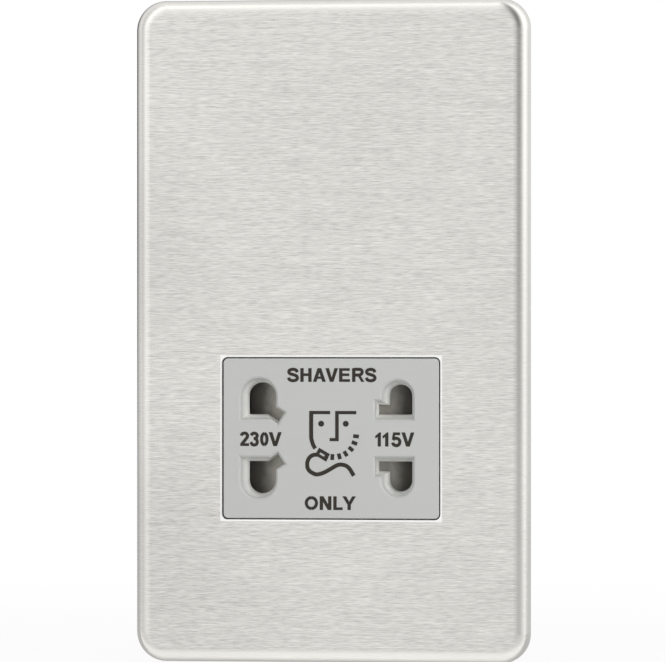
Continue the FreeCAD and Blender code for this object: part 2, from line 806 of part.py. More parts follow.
def contact_carrier():
    body = new_body("contact_carrier", z=socket_z)
    half_x, half_z = carrier_half_width, carrier_half_height
    profile = front_sketch(body, carrier_back)
    draw_box(profile, -half_x, half_x, -half_z, half_z)
    pad(body, profile, carrier_back - carrier_front)
    mouth = front_sketch(body, carrier_front)
    draw_box(mouth, -bay_half_width, bay_half_width, -channel_top, channel_top)
    pocket(body, mouth, funnel_back + s.shutter_gap - carrier_front)
    bay = front_sketch(body, carrier_front)
    draw_box(bay, -bay_half_width, bay_half_width, -rail_inner, rail_inner)
    pocket(body, bay, bay_floor - carrier_front)
    channel = front_sketch(body, carrier_front)
    draw_box(channel, -bay_half_width, bay_half_width, channel_bottom, channel_top)
    pocket(body, channel, bay_floor - carrier_front)
    swing = s.tab_width / 2 + s.shutter_travel + s.slide_gap
    gate = front_sketch(body, carrier_front)
    draw_box(gate, -swing, swing, rail_inner - s.slide_gap, channel_bottom + s.slide_gap)
    pocket(body, gate, bay_floor - carrier_front)

    cells = front_sketch(body, bay_floor)
    tails = front_sketch(body, bay_floor)
    half_tail = s.tail_width / 2 + s.tail_gap
    half_sheet = s.contact_sheet / 2 + s.tail_gap
    for up in (1, -1):
        inner = pin_z - s.contact_inner - s.cell_room
        outer = pin_z + s.contact_outer + s.cell_room
        low, high = sorted((inner * up, outer * up), key=lambda e: e.value)
        side = s.contact_half_width + s.cell_room
        draw_box(cells, -s.high_place - side, -s.high_place + s.cell_blade, low, high)
        draw_box(cells, s.low_place - s.cell_blade, s.low_place + side, low, high)
        for x in (-s.high_place, s.low_place):
            draw_box(tails, x - half_tail, x + half_tail, tail_z * up - half_sheet,
                     tail_z * up + half_sheet)
    pocket(body, cells, cell_floor - bay_floor)
    pocket(body, tails, carrier_back - bay_floor)

    legs = front_sketch(body, lower_floor)
    for x in (-half_x, half_x - s.carrier_leg):
        for z in (-half_z, half_z - s.carrier_leg):
            draw_box(legs, x, x + s.carrier_leg, z, z + s.carrier_leg)
    pad(body, legs, lower_floor - carrier_back)


def contact(label, x, up):
    """A cage of brass strip: two leaves for a round pin and a third for a flat blade."""
    body = new_body(label, x=x, z=socket_z + pin_z * up, turn=0 if up > 0 else 180)
    sheet = s.contact_sheet
    base = front_sketch(body, cell_floor)
    draw_box(base, -s.contact_half_width, s.contact_half_width, -s.contact_inner,
             s.contact_outer)
    pad(body, base, sheet)
    tip = cell_floor - s.leaf_length
    pinch = cell_floor - s.leaf_pinch_place
    for side in (1, -1):
        leaf = top_sketch(body, -s.leaf_low)
        outer = s.leaf_root * side
        inner = s.leaf_pinch * side
        skin = sheet * side
        path = [(outer + skin / 2, cell_floor), (outer - skin / 2, cell_floor),
                (inner, pinch), (outer - skin / 2, tip), (outer + skin / 2, tip),
                (inner + skin, pinch)]
        draw_path(leaf, path if side > 0 else path[::-1])
        pad(body, leaf, s.leaf_low + s.leaf_high)
    blade = side_sketch(body, -s.blade_leaf_half)
    low = -s.contact_inner
    bend = low + (s.leaf_root - s.leaf_pinch) / 2
    draw_path(blade, [(cell_floor, low), (cell_floor, low + sheet), (pinch, bend + sheet),
                      (tip, low + sheet), (tip, low), (pinch, bend)][::-1])
    pad(body, blade, s.blade_leaf_half * 2)
    tail = front_sketch(body, cell_floor - sheet / 2)
    draw_box(tail, -s.tail_width / 2, s.tail_width / 2, -s.tail_drop - sheet / 2,
             -s.tail_drop + sheet / 2)
    pad(body, tail, s.tail_length + sheet / 2, reverse=True)


def common_link():
    """A strip behind the carrier that joins the two lower contacts."""
    body = new_body("common_link", z=socket_z - tail_z)
    strip = front_sketch(body, link_front + s.contact_sheet)
    draw_box(strip, -s.high_place - s.tail_width, s.low_place + s.tail_width,
             -s.link_height / 2, s.link_height / 2)
    pad(body, strip, s.contact_sheet)
    slits = front_sketch(body, link_front)
    half_tail = s.tail_width / 2 + s.tail_slip
    half_sheet = s.contact_sheet / 2 + s.tail_slip
    for x in (-s.high_place, s.low_place):
        draw_box(slits, x - half_tail, x + half_tail, -half_sheet, half_sheet)
    pocket(body, slits, s.contact_sheet)


# The housing behind the wall's surface

def rear_housing():
    body = new_body("rear_housing")
    half_x, half_z = housing_half_width, housing_half_height
    rim = -s.rim_tongue
    shallow = front_sketch(body, rim)
    draw_box(shallow, -half_x, half_x, -half_z, half_z, s.housing_corner)
    pad(body, shallow, lower_depth - rim, reverse=True)
    deep = front_sketch(body, rim)
    draw_box(deep, -half_x, half_x, step_height - s.housing_wall, half_z, s.housing_corner)
    block = pad(body, deep, upper_depth - rim, reverse=True)
    back = edges_where(block, in_level(upper_depth))
    round_edges(body, block, back, s.housing_edge)

    inner_corner = s.housing_corner - s.housing_wall
    lower = front_sketch(body, rim)
    draw_box(lower, -inner_half_width, inner_half_width, -inner_half_height,
             inner_half_height, inner_corner)
    pocket(body, lower, lower_floor - rim)
    upper = front_sketch(body, rim)
    draw_box(upper, -inner_half_width, inner_half_width, step_height,
             inner_half_height, inner_corner)
    pocket(body, upper, upper_floor - rim)

    bosses = front_sketch(body)
    holes = front_sketch(body)
    for x in (boss_x, -boss_x):
        for z in (boss_z, -boss_z):
            draw_circle(bosses, x, z, s.boss_radius * 2)
            draw_circle(holes, x, z, s.boss_hole)
    pad(body, bosses, s.boss_depth, reverse=True)
    pocket(body, holes, s.boss_hole_depth)

    posts = front_sketch(body, upper_floor)
    feet = front_sketch(body, upper_floor)
    pilots = front_sketch(body, strap_foot_place)
    post_outer = core_half_width - s.post_margin
    post_inner = post_outer - s.post_width
    for z in (strap_low_z, strap_high_z):
        low, high = z - s.post_height / 2, z + s.post_height / 2
        draw_box(posts, post_inner, post_outer, low, high)
        draw_box(posts, -post_outer, -post_inner, low, high)
        edge = core_half_width + s.strap_sheet + s.strap_gap
        draw_box(feet, edge, inner_half_width + s.strap_sheet, low, high)
        draw_box(feet, -inner_half_width - s.strap_sheet, -edge, low, high)
        for x in (foot_x, -foot_x):
            draw_circle(pilots, x, z, s.post_hole)
    pad(body, posts, upper_floor - core_back)
    pad(body, feet, upper_floor - strap_foot_place)
    pocket(body, pilots, s.strap_screw_length)

    slits = front_sketch(body)
    half_spade = s.spade_width / 2 + s.tail_gap
    half_sheet = s.spade_thickness / 2 + s.tail_gap
    for x in terminal_places.values():
        draw_box(slits, x - half_spade, x + half_spade, terminal_z - half_sheet,
                 terminal_z + half_sheet)
    pocket(body, slits, lower_depth)
    pegs = front_sketch(body, lower_floor + s.housing_wall / 2)
    for x in (ear_x, -ear_x):
        draw_circle(pegs, x, terminal_z, s.peg_diameter)
    pad(body, pegs, s.peg_length + s.housing_wall / 2, reverse=True)


def terminal_block():
    body = new_body("terminal_block")
    half = block_half_width
    block = front_sketch(body, lower_depth)
    draw_box(block, -half, half, block_bottom, block_bottom + block_height)
    pad(body, block, block_depth, reverse=True)
    ears = front_sketch(body, lower_depth)
    draw_box(ears, -half - s.block_ear, half + s.block_ear, terminal_z - s.block_ear_height / 2,
             terminal_z + s.block_ear_height / 2)
    pad(body, ears, s.block_ear_thickness, reverse=True)
    holes = front_sketch(body, lower_depth)
    for x in (ear_x, -ear_x):
        draw_circle(holes, x, terminal_z, s.peg_diameter + s.peg_gap * 2)
    pocket(body, holes, s.block_ear_thickness)

    chambers = front_sketch(body, lower_depth)
    entries = top_sketch(body, block_bottom)
    screws = front_sketch(body, lower_depth + block_depth)
    room = s.terminal_width / 2 + s.terminal_gap
    for x in terminal_places.values():
        draw_box(chambers, x - room, x + room, block_bottom + s.block_wall,
                 terminal_bottom + s.terminal_height + s.terminal_gap)
        draw_circle(entries, x, terminal_middle, s.cable_entry)
        draw_circle(screws, x, terminal_z, s.clamp_head_hole)
    pocket(body, chambers, s.terminal_depth + s.terminal_gap * 2)
    pocket(body, entries, s.block_wall, reverse=True)
    pocket(body, screws, block_depth - s.terminal_depth, reverse=True)


def terminal(label, x):
    """A drilled brass block with a spade that reaches into the housing."""
    body = new_body(label, x=x)
    half = s.terminal_width / 2
    block = front_sketch(body, terminal_back)
    draw_box(block, -half, half, terminal_bottom, terminal_bottom + s.terminal_height)
    pad(body, block, s.terminal_depth)
    bore = top_sketch(body, terminal_bottom)
    draw_circle(bore, 0, terminal_middle, s.cable_bore)
    pocket(body, bore, s.cable_bore_depth, reverse=True)
    thread = front_sketch(body, terminal_back)
    draw_circle(thread, 0, terminal_z, s.clamp_screw)
    pocket(body, thread, s.terminal_depth / 2 - s.cable_bore / 4, reverse=True)
    spade = front_sketch(body, terminal_front)
    draw_box(spade, -s.spade_width / 2, s.spade_width / 2,
             terminal_z - s.spade_thickness / 2, terminal_z + s.spade_thickness / 2)
    pad(body, spade, terminal_front - spade_end)


# The transformer

def core_e():
    body = new_body("core_e", z=core_bottom)
    half, leg = core_half_width, s.core_leg / 2
    top, yoke = s.core_yoke + s.core_window, s.core_yoke
    slot = half - yoke
    profile = front_sketch(body, core_back)
    draw_path(profile, [
        (-half, 0), (half, 0), (half, top), (slot, top), (slot, yoke), (leg, yoke),
        (leg, top), (-leg, top), (-leg, yoke), (-slot, yoke), (-slot, top), (-half, top),
    ])
    pad(body, profile, s.core_stack)


def core_i():
    body = new_body("core_i", z=leg_top)
    half = core_half_width
    profile = front_sketch(body, core_back)
    draw_box(profile, -half, half, as_size(0), s.core_yoke)
    pad(body, profile, s.core_stack)


def coil_box(body, z, height, half_x, half_y, corner=None):
    """A block round the core's middle leg, drawn from above."""
    profile = top_sketch(body, z)
    draw_box(profile, -half_x, half_x, core_middle - half_y, core_middle + half_y, corner)
    return pad(body, profile, height)


def coil_hole(body, z, height, half_x, half_y, corner=None):
    profile = top_sketch(body, z)
    draw_box(profile, -half_x, half_x, core_middle - half_y, core_middle + half_y, corner)
    return pocket(body, profile, height, reverse=True)


def coil_bobbin():
    body = new_body("coil_bobbin")
    coil_box(body, bobbin_bottom, bobbin_height, tube_half_x, tube_half_y)
    levels = (bobbin_bottom, secondary_bottom - s.bobbin_wall,
              bobbin_bottom + bobbin_height - s.bobbin_wall)
    for level in levels:
        coil_box(body, level, s.bobbin_wall, coil_half_width, coil_half_depth)
    coil_hole(body, bobbin_bottom, bobbin_height, tube_half_x - s.bobbin_wall,
              tube_half_y - s.bobbin_wall)


def winding(label, z, height):
    body = new_body(label)
    outer_x = coil_half_width - s.winding_margin
    outer_y = coil_half_depth - s.winding_margin
    coil_box(body, z, height, outer_x, outer_y, s.winding_corner)
    coil_hole(body, z, height, tube_half_x, tube_half_y)


def tape(label, z, height):
    body = new_body(label)
    inner_x = coil_half_width - s.winding_margin
    inner_y = coil_half_depth - s.winding_margin
    wrap = s.tape_thickness
    coil_box(body, z, height, inner_x + wrap, inner_y + wrap, s.winding_corner + wrap)
    coil_hole(body, z, height, inner_x, inner_y, s.winding_corner)


def thermal_cutout():
    body = new_body("thermal_cutout")
    back = core_middle - coil_half_depth + s.winding_margin - s.tape_thickness
    middle = primary_bottom + s.primary_height / 2
    profile = front_sketch(body, back)
    draw_box(profile, -s.cutout_width / 2, s.cutout_width / 2,
             middle - s.cutout_height / 2, middle + s.cutout_height / 2)
    pad(body, profile, s.cutout_thickness)


def core_strap(label, z):
    """A hat-shaped steel strap over one yoke, with a drilled foot at each end."""
    body = new_body(label, z=z)
    inner = core_half_width
    outer = inner + s.strap_sheet
    tip = outer + s.strap_foot
    foot = strap_foot_place
    profile = top_sketch(body, -s.strap_width / 2)
    draw_path(profile, [
        (-tip, foot), (-tip, foot - s.strap_sheet), (-outer, foot - s.strap_sheet),
        (-outer, core_front - s.strap_sheet), (outer, core_front - s.strap_sheet),
        (outer, foot - s.strap_sheet), (tip, foot - s.strap_sheet), (tip, foot),
        (inner, foot), (inner, core_front), (-inner, core_front), (-inner, foot),
    ])
    hat = pad(body, profile, s.strap_width)
    bends = edges_where(hat, lambda box: (
        near(box.ZLength, s.strap_width) and near(box.YMin, core_front - s.strap_sheet)))
    round_edges(body, hat, bends, s.strap_bend)
    holes = front_sketch(body, foot - s.strap_sheet)
    for x in (foot_x, -foot_x):
        draw_circle(holes, x, 0, s.strap_hole)
    pocket(body, holes, s.strap_sheet)


# Fasteners, modelled once and grouped

def screw(label, shank, length, head, head_height, countersunk=False):
    """A slotted screw that points along positive Z, with the top of its head at zero."""
    body = doc.addObject("PartDesign::Body", label)
    radius = shank / 2
    profile = front_sketch(body)
    neck = [(radius, head_height)] if countersunk else [
        (head / 2, head_height), (radius, head_height)]
    draw_path(profile, [
        (0, 0), (head / 2, 0), *neck, (radius, length - radius), (radius / 2, length),
        (0, length),
    ])
    turned(body, profile)
    slot = top_sketch(body)
    draw_box(slot, -head, head, -s.screw_slot / 2, s.screw_slot / 2)
    pocket(body, slot, s.screw_slot_depth, reverse=True)
    doc.recompute()
    return body.Shape


def screw_group(label, shape, places, towards_wall=True):
    """Copies of a screw as one node, with the tops of their heads at the places."""
    turn = FreeCAD.Rotation(V(1, 0, 0), -90 if towards_wall else 90)
    copies = []
    for place in places:
        copy = shape.copy()
        copy.Placement = FreeCAD.Placement(V(*[as_size(p).value for p in place]), turn)
        copies.append(copy)
    group = doc.addObject("Part::Feature", label)
    group.Label = label
    group.Shape = Part.Compound(copies)
    subparts.append(group)


def fasteners():
    head_height = (s.screw_head - s.screw_diameter) / 2
    housing_screw = screw("housing_screw_pattern", s.screw_diameter, s.screw_length,
                          s.screw_head, head_height, countersunk=True)
    top = s.screw_sink - s.frame_depth
    screw_group("housing_screws", housing_screw,
                [(x, top, z) for x in (boss_x, -boss_x) for z in (boss_z, -boss_z)])
    strap_screw = screw("strap_screw_pattern", s.strap_screw,
                        s.strap_screw_length + s.strap_head_height,
                        s.strap_head, s.strap_head_height)
    top = strap_foot_place - s.strap_sheet - s.strap_head_height
    screw_group("strap_screws", strap_screw, [
        (x, top, z) for x in (foot_x, -foot_x) for z in (strap_low_z, strap_high_z)])
    reach = terminal_back - terminal_middle - s.cable_bore / 2 - s.clamp_screw_gap
    clamp_screw = screw("clamp_screw_pattern", s.clamp_screw - s.clamp_screw_gap,
                        reach + s.clamp_head_height, s.clamp_head, s.clamp_head_height)
    top = terminal_back + s.clamp_head_height
    screw_group("terminal_screws", clamp_screw,
                [(x, top, terminal_z) for x in terminal_places.values()],
                towards_wall=False)


# Earth clip and leads

def earth_clip():
    body = new_body("earth_clip", z=clip_height)
    floor = -s.clip_floor
    sheet = s.clip_sheet
    touch = -(s.plate_depth - s.plate_sheet - s.clip_touch)
    left = s.clip_place - s.clip_base
    crest = s.clip_place + s.clip_arm - s.clip_room
    end = s.clip_place + s.clip_arm
    profile = top_sketch(body, -s.clip_width / 2)
    draw_path(profile, [
        (left, s.clip_tail), (left, floor - sheet), (s.clip_place, floor - sheet),
        (crest, touch), (end, touch + sheet), (end, touch + sheet * 2),
        (crest, touch + sheet), (s.clip_place + sheet / 2, floor),
        (left + sheet, floor), (left + sheet, s.clip_tail),
    ])
    pad(body, profile, s.clip_width)


def ring_points(centre, axis, radius, sides):
    """The corners of a closed regular polygon about an axis."""
    turn = FreeCAD.Rotation(V(0, 0, 1), axis)
    angles = [2 * math.pi * number / sides for number in range(sides)]
    ring = [centre + turn.multVec(V(math.cos(a), math.sin(a), 0) * radius) for a in angles]
    return [*ring, ring[0]]


def lead(label, route):
    """An insulated wire along straight runs that are joined by tangent arcs.

    Its section has a few flat sides in place of a circle, which keeps its faces few.
    """
    points = [V(*[as_size(value).value for value in point]) for point in route]
    edges = []
    start = points[0]
    radii = []
    for before, here, after in zip(points, points[1:], points[2:]):
        incoming = (here - before).normalize()
        outgoing = (after - here).normalize()
        turn = incoming.getAngle(outgoing)
        shorter = min((here - before).Length, (after - here).Length)
        tangent = 0.45 * shorter
        radii.append(tangent / math.tan(turn / 2))
        arc_start = here - incoming * tangent
        arc_end = here + outgoing * tangent
        inward = (outgoing - incoming).normalize()
        centre = here + inward * (radii[-1] / math.cos(turn / 2))
        middle = centre - inward * radii[-1]
        edges.append(Part.LineSegment(start, arc_start).toShape())
        edges.append(Part.Arc(arc_start, middle, arc_end).toShape())
        start = arc_end
    edges.append(Part.LineSegment(start, points[-1]).toShape())
    path = Part.Wire(edges)
    section = Part.Wire(Part.makePolygon(ring_points(
        points[0], points[1] - points[0], s.lead_diameter.value / 2, int(s.lead_sides.value))))
    tube = path.makePipeShell([section], True, True)
    expected = Part.Face(section).Area * path.Length
    assert abs(tube.Volume / expected - 1) < 0.01, f"{label} is not a plain tube"
    print(label, "bend radii", [round(r, 1) for r in radii])
    wire = doc.addObject("Part::Feature", label)
    wire.Label = label
    wire.Shape = tube
    subparts.append(wire)


def leads():
    """Wires from the coil to the contacts and terminals, laid clear of what they pass."""
    drop_y = s.coil_front + s.lead_inset
    turn_z = core_bottom - s.lead_turn
    tail_y = carrier_back + s.lead_diameter
    above, below = carrier_top + s.lead_pass, carrier_top - s.lead_pass
    upper_tail = socket_z + tail_z + s.contact_sheet / 2
    exit_x = coil_half_width - s.secondary_lead_inset
    for label, x, start_x in (("secondary_high_lead", -s.high_place, -exit_x),
                              ("secondary_low_lead", s.low_place, exit_x)):
        fan_x = start_x + (x - start_x) / 3
        lead(label, [
            (start_x, drop_y, bobbin_bottom), (start_x, drop_y, turn_z),
            (fan_x, tail_y - s.lead_gap, above), (x, tail_y, below), (x, tail_y, upper_tail),
        ])
    link_top = socket_z - tail_z + s.link_height / 2
    lead("secondary_common_lead", [
        (0, drop_y, bobbin_bottom), (0, drop_y, turn_z), (0, tail_y - s.lead_gap, above),
        (0, tail_y, below - s.lead_turn), (0, tail_y, socket_z),
        (0, link_front + s.contact_sheet / 2, link_top),
    ])
    behind = tail_y + s.lead_diameter + s.lead_gap
    back_y = core_back + s.lead_turn
    run_x = coil_half_width - s.primary_run_inset
    end_x = coil_half_width - s.primary_lead_inset
    for label, x, run_x, end_x in (("live_lead", -s.terminal_pitch, -run_x, -end_x),
                                   ("neutral_lead", as_size(0), run_x, end_x)):
        lead(label, [
            (x, behind, terminal_z + s.spade_thickness / 2),
            (x, behind, terminal_z + s.lead_reach), (run_x, behind, socket_z - s.lead_turn),
            (run_x, behind, step_height + s.lead_diameter),
            (end_x, back_y, leg_bottom - s.lead_reach), (end_x, back_y, bobbin_bottom),
        ])
    clip_x = s.clip_place - s.clip_base + s.clip_sheet / 2
    lead("earth_lead", [
        (s.terminal_pitch, spade_end, terminal_z),
        (s.terminal_pitch, spade_end - s.lead_reach, terminal_z),
        (clip_x, s.clip_tail + s.lead_reach, clip_height), (clip_x, s.clip_tail, clip_height),
    ])


front_plate()
mounting_frame()
socket_insert()
shutter_slider()
shutter_spring("left_shutter_spring", -1)
shutter_spring("right_shutter_spring", 1)
contact_carrier()
contact("high_upper_contact", -s.high_place, 1)
contact("high_lower_contact", -s.high_place, -1)
contact("low_upper_contact", s.low_place, 1)
contact("low_lower_contact", s.low_place, -1)
common_link()
rear_housing()
terminal_block()
for name, place in terminal_places.items():
    terminal(name, place)
core_e()
core_i()
coil_bobbin()
winding("primary_winding", primary_bottom, s.primary_height)
winding("secondary_winding", secondary_bottom, secondary_height)
tape("primary_tape", primary_bottom, s.primary_height)
tape("secondary_tape", secondary_bottom, secondary_height)
thermal_cutout()
core_strap("lower_core_strap", strap_low_z)
core_strap("upper_core_strap", strap_high_z)
fasteners()
earth_clip()
leads()

doc.recompute()
for thing in doc.Objects:
    broken = [state for state in thing.State if state in ("Invalid", "Error")]
    assert not broken, f"{thing.Label} is {broken}"
for cut in doc.Objects:
    if cut.TypeId in ("PartDesign::Pocket", "PartDesign::SubtractiveLoft"):
        lost = cut.BaseFeature.Shape.Volume - cut.Shape.Volume
        assert lost > 0, f"{cut.Label} cuts nothing"
for part in subparts:
    assert not part.Shape.isNull(), f"{part.Label} has no shape"
    assert part.Shape.isValid(), f"{part.Label} is not a valid solid"

os.makedirs("parts", exist_ok=True)
for part in subparts:
    part.Shape.exportStep(f"parts/{part.Label}.step")
    print(part.Label, round(part.Shape.Volume, 1), len(part.Shape.Solids))
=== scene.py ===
import math

import bmesh
import bpy
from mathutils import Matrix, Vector


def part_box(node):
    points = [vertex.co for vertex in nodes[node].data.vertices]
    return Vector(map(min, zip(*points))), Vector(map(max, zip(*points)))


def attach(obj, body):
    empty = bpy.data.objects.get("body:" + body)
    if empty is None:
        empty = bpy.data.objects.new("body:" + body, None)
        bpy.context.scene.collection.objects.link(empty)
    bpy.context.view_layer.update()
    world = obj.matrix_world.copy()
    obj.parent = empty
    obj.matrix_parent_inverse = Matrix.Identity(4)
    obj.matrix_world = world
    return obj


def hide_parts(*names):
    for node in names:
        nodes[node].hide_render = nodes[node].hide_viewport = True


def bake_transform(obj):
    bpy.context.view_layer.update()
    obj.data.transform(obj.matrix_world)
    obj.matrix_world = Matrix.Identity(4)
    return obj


# A shaver socket in its brushed steel plate, seen almost square on.
# Lengths are in metres in the part's own frame: X to the right, Z up, Y into the wall.

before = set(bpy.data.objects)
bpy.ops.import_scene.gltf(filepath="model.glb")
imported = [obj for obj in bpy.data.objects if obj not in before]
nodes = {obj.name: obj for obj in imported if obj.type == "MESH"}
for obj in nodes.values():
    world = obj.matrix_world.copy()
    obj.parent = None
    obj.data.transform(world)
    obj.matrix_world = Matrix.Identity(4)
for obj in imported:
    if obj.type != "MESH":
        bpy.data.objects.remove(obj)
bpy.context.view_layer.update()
MM = 0.001

# The photograph's frame, and the camera that looks from its viewing angle
FRAME_WIDTH, FRAME_HEIGHT = 665, 662
CAMERA_YAW = math.radians(8)
CAMERA_LENS, SENSOR = 300.0, 36.0
CLIP_NEAR, CLIP_FAR = 0.01, 20.0
# Shares the small offset that is left between the plate's outline and its window
AIM_SHIFT = -0.27 * MM

plate_low, plate_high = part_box("front_plate")
insert_low, insert_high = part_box("socket_insert")
insert_z = (insert_low.z + insert_high.z) / 2
face_y = insert_low.y
WINDOW_WIDTH, WINDOW_HEIGHT = 49.4 * MM, 36.5 * MM


def new_object(name, data):
    made = bpy.data.objects.new(name, data)
    bpy.context.scene.collection.objects.link(made)
    return made


# Node helpers

def srgb(*levels):
    """A linear colour from levels of 0 to 255 as a picture shows them."""
    linear = []
    for level in levels:
        c = level / 255
        linear.append(c / 12.92 if c <= 0.04045 else ((c + 0.055) / 1.055) ** 2.4)
    return (*linear, 1.0)


def scaled(colour, factor):
    return [min(1.0, c * factor) for c in colour[:3]] + [1.0]


class Nodes:
    """Short calls that build a material's or the world's nodes."""

    def __init__(self, tree):
        self.tree = tree
        tree.nodes.clear()

    def add(self, kind, inputs=None, **settings):
        node = self.tree.nodes.new(kind)
        for key, value in settings.items():
            setattr(node, key, value)
        for key, value in (inputs or {}).items():
            self.put(node.inputs[key], value)
        return node

    def put(self, socket, value):
        if isinstance(value, bpy.types.NodeSocket):
            self.tree.links.new(value, socket)
        else:
            socket.default_value = value

    def math(self, operation, a, b=0.0):
        return self.add("ShaderNodeMath", {0: a, 1: b}, operation=operation).outputs[0]

    def vector(self, operation, a, b=(0, 0, 0)):
        """Vector arithmetic, whose result is a number for a length or a dot product."""
        node = self.add("ShaderNodeVectorMath", {0: a, 1: b}, operation=operation)
        return node.outputs[1 if operation in ("LENGTH", "DOT_PRODUCT") else 0]

    def axis(self, vector, number):
        """One coordinate of a vector: 0 for X, 1 for Y and 2 for Z."""
        return self.add("ShaderNodeSeparateXYZ", {0: vector}).outputs[number]

    def place(self, scale=(1, 1, 1)):
        """Object coordinates, stretched by a scale for each axis."""
        where = self.add("ShaderNodeTexCoord").outputs["Object"]
        return self.add("ShaderNodeMapping", {"Vector": where, "Scale": scale}).outputs[0]

    def noise(self, scale, detail=2.0, roughness=0.5, where=(1, 1, 1)):
        node = self.add("ShaderNodeTexNoise", {
            "Vector": self.place(where), "Scale": scale, "Detail": detail,
            "Roughness": roughness})
        return node.outputs[0]

    def bands(self, direction, scale, distortion, detail):
        """Soft stripes that follow one another along an axis."""
        return self.add("ShaderNodeTexWave", {
            "Vector": self.place(), "Scale": scale, "Distortion": distortion,
            "Detail": detail}, wave_type="BANDS", bands_direction=direction).outputs[1]

    def span(self, value, low, high, start=0.25, end=0.75, smooth=False):
        """The value's stretch from start to end, mapped to low and high."""
        return self.add("ShaderNodeMapRange", {
            "Value": value, "From Min": start, "From Max": end, "To Min": low,
            "To Max": high},
            interpolation_type="SMOOTHSTEP" if smooth else "LINEAR").outputs[0]

    def mix(self, factor, a, b):
        return self.add("ShaderNodeMix", {0: factor, 6: a, 7: b},
                        data_type="RGBA").outputs[2]

    def mix_value(self, factor, a, b):
        return self.add("ShaderNodeMix", {0: factor, 2: a, 3: b},
                        data_type="FLOAT").outputs[0]

    def bump(self, height, distance, strength=1.0):
        return self.add("ShaderNodeBump", {
            "Height": height, "Distance": distance, "Strength": strength}).outputs[0]

    def normal(self):
        return self.add("ShaderNodeNewGeometry").outputs["Normal"]

    def show(self, shader, output="ShaderNodeOutputMaterial"):
        self.put(self.add(output).inputs["Surface"], shader.outputs[0])

    def surface(self, **inputs):
        """A principled shader, its sockets named as in base_color."""
        named = {key.replace("_", " ").title().replace("Ior", "IOR"): value
                 for key, value in inputs.items()}
        self.show(self.add("ShaderNodeBsdfPrincipled", named))


def material(name):
    made = bpy.data.materials.new(name)
    made.use_nodes = True
    return made, Nodes(made.node_tree)


# Brushed steel of the plate

FINE_STREAKS, FINE_SHARE = (430, 700, 9000), 0.7
LONG_STREAKS, LONG_SHARE = (120, 300, 7600), 0.3
STREAK_CONTRAST, CLOUD_CONTRAST = 0.66, 0.06
# On the rolled edges the streaks fade, and the metal is a little glossier
ROLL_FADE, ROLL_GLOSS = 0.75, 0.07
FLAT_FACING, ROLLED_FACING = 0.998, 0.96
# How far the painted highlight along the window's punched edge reaches over the plate
EDGE_LINE_FULL, EDGE_LINE_END = 0.3 * MM, 0.48 * MM
# Painted shade, fitted to the photograph's light: where the plate's colour is a little
# darker; middle and reach in millimetres, and amount
PAINTED_SHADE_PATCHES = (
    ((-44, -52), 46, 0.2),
    ((-52, 20), 34, 0.14),
    ((56, 0), 34, 0.08),
)


def across_brushing(n):
    """The direction on the surface that crosses streaks laid along X.

    The sheet was brushed flat and then rolled at its edges, so the streaks turn
    with it there.
    """
    across = n.vector("CROSS_PRODUCT", n.normal(), (1, 0, 0))
    never_zero = (0, 0, 0.1)
    return n.vector("ADD", across, never_zero)


def on_the_roll(n):
    """1 where the sheet turns away from its flat face, and 0 on the face."""
    facing = n.math("ABSOLUTE", n.axis(n.normal(), 1))
    return n.span(facing, 0.0, 1.0, FLAT_FACING, ROLLED_FACING)


def window_edge_highlight(n):
    """1 on the painted highlight, a bright line along the punched edge of the window, and
    0 elsewhere.
    """
    from_middle = n.vector("SUBTRACT", n.place(), (0, 0, insert_z))
    beside = n.math("SUBTRACT", n.math("ABSOLUTE", n.axis(from_middle, 0)),
                    WINDOW_WIDTH / 2)
    above = n.math("SUBTRACT", n.math("ABSOLUTE", n.axis(from_middle, 2)),
                   WINDOW_HEIGHT / 2)
    return n.span(n.math("MAXIMUM", beside, above), 0.0, 1.0,
                  EDGE_LINE_END, EDGE_LINE_FULL)


def painted_shade_patch(n, middle, reach, amount):
    """A soft round patch of painted shade on the plate, with its place and reach in
    millimetres.
    """
    x, z = middle
    offset = n.vector("SUBTRACT", n.place((1, 0, 1)), (x * MM, 0, z * MM))
    return n.span(n.vector("LENGTH", offset), 0.0, amount, reach * MM, 0.0,
                  smooth=True)


def brushed_steel():
    """Satin steel brushed along X, in short fine streaks and a few longer ones."""
    made, n = material("brushed_steel")
    fine = n.noise(1.0, detail=2.0, where=FINE_STREAKS)
    long = n.noise(1.0, detail=1.0, where=LONG_STREAKS)
    cloud = n.noise(30.0, detail=3.0, where=(0.6, 1, 1))
    streak = n.math("ADD", n.math("MULTIPLY", fine, FINE_SHARE),
                    n.math("MULTIPLY", long, LONG_SHARE))
    roll = on_the_roll(n)
    contrast = n.math("SUBTRACT", 1.0, n.math("MULTIPLY", roll, ROLL_FADE))
    streaks = n.math("MULTIPLY", n.span(streak, -STREAK_CONTRAST, STREAK_CONTRAST),
                     contrast)
    tone = n.math("ADD", streaks, n.span(cloud, -CLOUD_CONTRAST, CLOUD_CONTRAST))
    # Painted shade: broad patches darken the plate's tone
    for patch in PAINTED_SHADE_PATCHES:
        tone = n.math("SUBTRACT", tone, painted_shade_patch(n, *patch))
    colour = n.mix(n.math("ADD", tone, 0.5), srgb(190, 189, 185), srgb(246, 244, 239))
    # Painted highlight: a near-white line along the window's punched edge
    colour = n.mix(window_edge_highlight(n), colour, srgb(252, 252, 250))
    roughness = n.math("SUBTRACT", n.span(streak, 0.24, 0.34),
                       n.math("MULTIPLY", roll, ROLL_GLOSS))
    n.surface(
        base_color=colour, metallic=1.0, roughness=roughness, anisotropic=0.8,
        tangent=across_brushing(n), normal=n.bump(streak, 0.004 * MM))
    return made


# Other materials

# Depths behind the insert's face between which its walls turn to their painted-light
# colour: painted light that makes the walls paler further in
DEEP_START, DEEP_END = 0.4 * MM, 4.5 * MM


